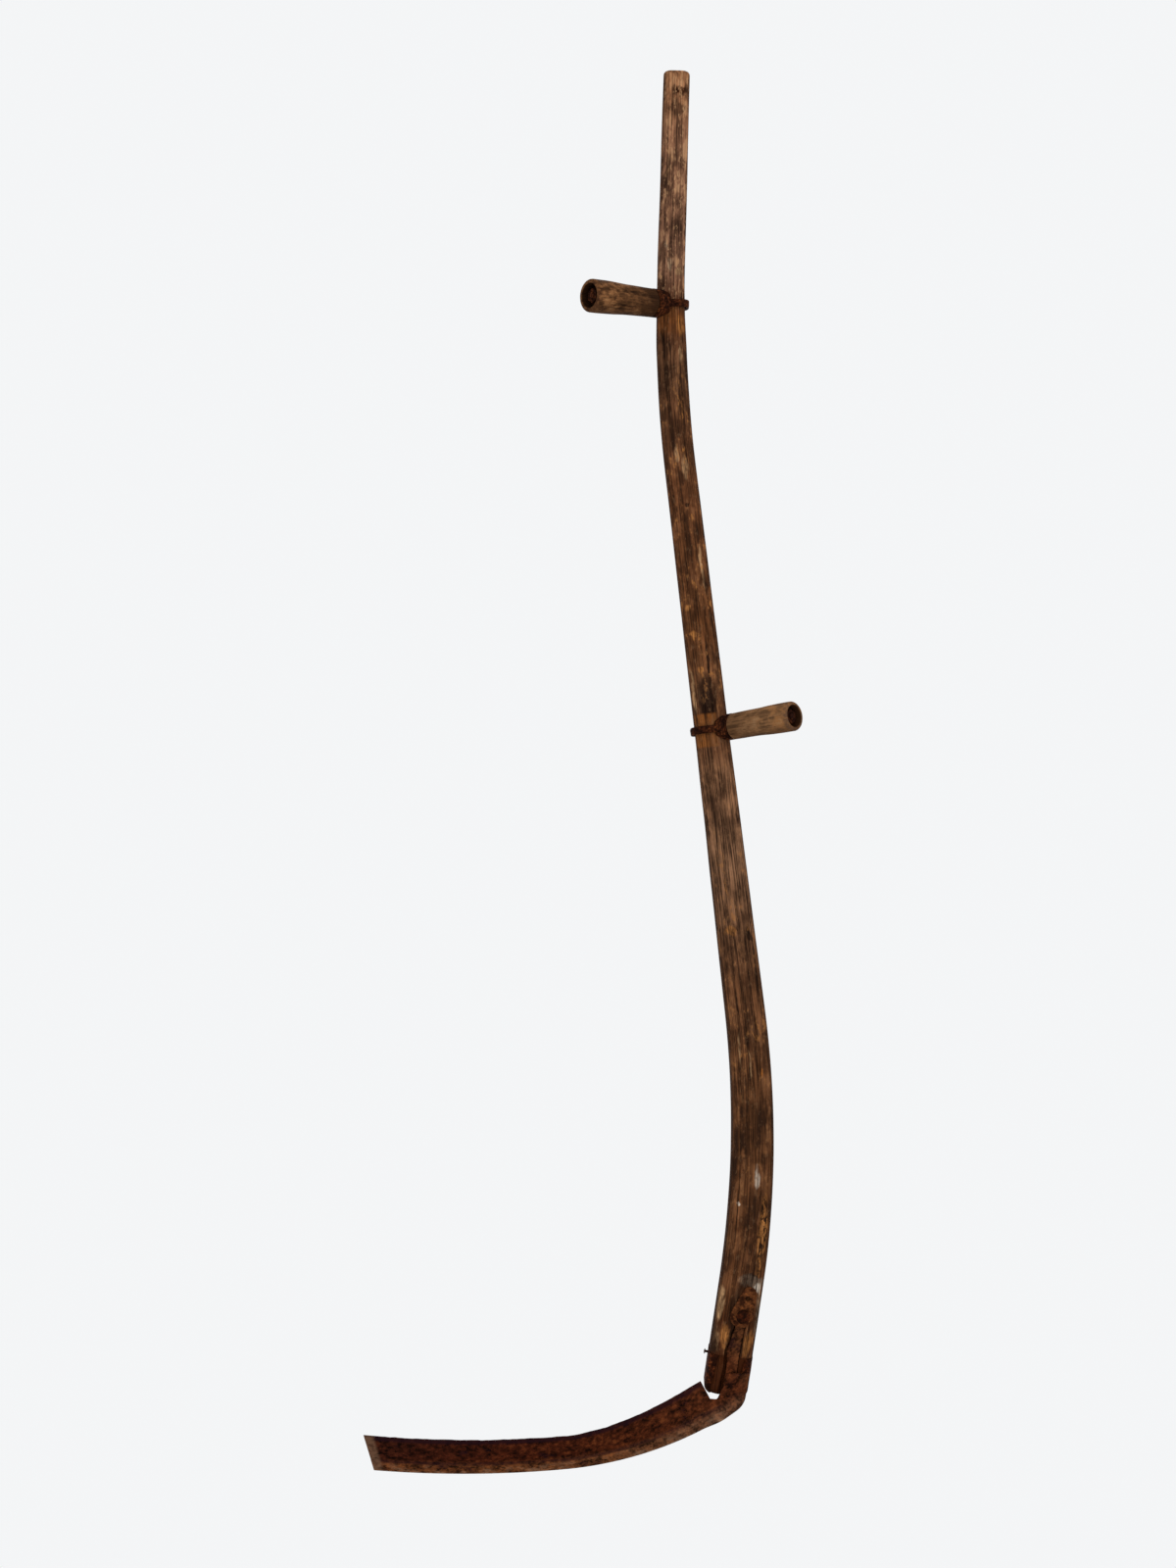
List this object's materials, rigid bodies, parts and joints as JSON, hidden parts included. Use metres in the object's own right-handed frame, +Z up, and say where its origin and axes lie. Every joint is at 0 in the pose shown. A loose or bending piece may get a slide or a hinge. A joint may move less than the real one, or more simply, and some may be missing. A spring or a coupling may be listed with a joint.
{
  "type": "scythe",
  "caption": "Scythe with a bent squared wooden snath, clamped turned nib grips and a short worn curved blade bolted at the foot.",
  "frame": {"origin": "the notch under the upper grip, between its collar and the snath, where a wall nail carries the scythe", "axes": "+Z up the hanging scythe towards the thin top end, +Y into the wall behind it, +X to the right seen from the front"},
  "size_m": [0.4589, 0.1214, 1.4818],
  "materials": {
    "snath": "weathered brown ash, dry and streaky, rust-stained under the irons",
    "upper_grip": "hand-worn brown hardwood, dull with a slight polish",
    "lower_grip": "hand-worn tan hardwood, greyed at the rim",
    "fittings": "old black iron with a dark brown rust bloom",
    "blade": "forged steel under an even dark brown rust with brighter orange specks"
  },
  "bodies": {
    "root": {"snath": "snath", "heel_ferrule": "fittings", "ferrule_nail_left": "fittings", "ferrule_nail_right": "fittings", "heel_plate": "fittings", "tang_bolt": "fittings", "tang_bolt_washer": "fittings", "tang_bolt_nut": "fittings"},
    "blade": {"blade": "blade"},
    "upper_clamp": {"upper_nib_loop": "fittings", "upper_nib_saddle": "fittings"},
    "upper_collar": {"upper_nib_collar": "fittings"},
    "upper_grip": {"upper_nib_grip": "upper_grip", "upper_nib_washer": "fittings", "upper_nib_nut": "fittings"},
    "lower_clamp": {"lower_nib_loop": "fittings", "lower_nib_saddle": "fittings"},
    "lower_collar": {"lower_nib_collar": "fittings"},
    "lower_grip": {"lower_nib_grip": "lower_grip", "lower_nib_washer": "fittings", "lower_nib_nut": "fittings"}
  },
  "joints": [
    {"name": "blade_hang", "type": "hinge", "parent": "root", "child": "blade", "pos_m": [0.08944, -0.04455, -1.0492], "axis": [0.0186, 0.9913, 0.1301], "range_deg": [0, 3]},
    {"name": "upper_nib_slide", "type": "slide", "parent": "root", "child": "upper_clamp", "axis": [-0.0015, 0.0113, 0.9999], "range_m": [0, 0.03]},
    {"name": "upper_collar_travel", "type": "slide", "parent": "upper_clamp", "child": "upper_collar", "axis": [-0.7934, -0.6087, 0.0057], "range_m": [0, 0.0032]},
    {"name": "upper_grip_turn", "type": "hinge", "parent": "upper_collar", "child": "upper_grip", "pos_m": [0.01492, 0, 0.0152], "axis": [0.7934, 0.6087, -0.0057], "range_deg": [0, 720]},
    {"name": "lower_nib_slide", "type": "slide", "parent": "root", "child": "lower_clamp", "axis": [-0.1158, 0.0541, 0.9918], "range_m": [0, 0.08]},
    {"name": "lower_collar_travel", "type": "slide", "parent": "lower_clamp", "child": "lower_collar", "axis": [0.7568, -0.6418, 0.1234], "range_m": [0, 0.0032]},
    {"name": "lower_grip_turn", "type": "hinge", "parent": "lower_collar", "child": "lower_grip", "pos_m": [0.05731, -0.02073, -0.43552], "axis": [-0.7568, 0.6418, -0.1234], "range_deg": [0, 720]}
  ],
  "couplings": [
    {"joint": "upper_collar_travel", "follows": "upper_grip_turn", "m_per_rad": 0.00025266},
    {"joint": "lower_collar_travel", "follows": "lower_grip_turn", "m_per_rad": 0.00025266}
  ]
}
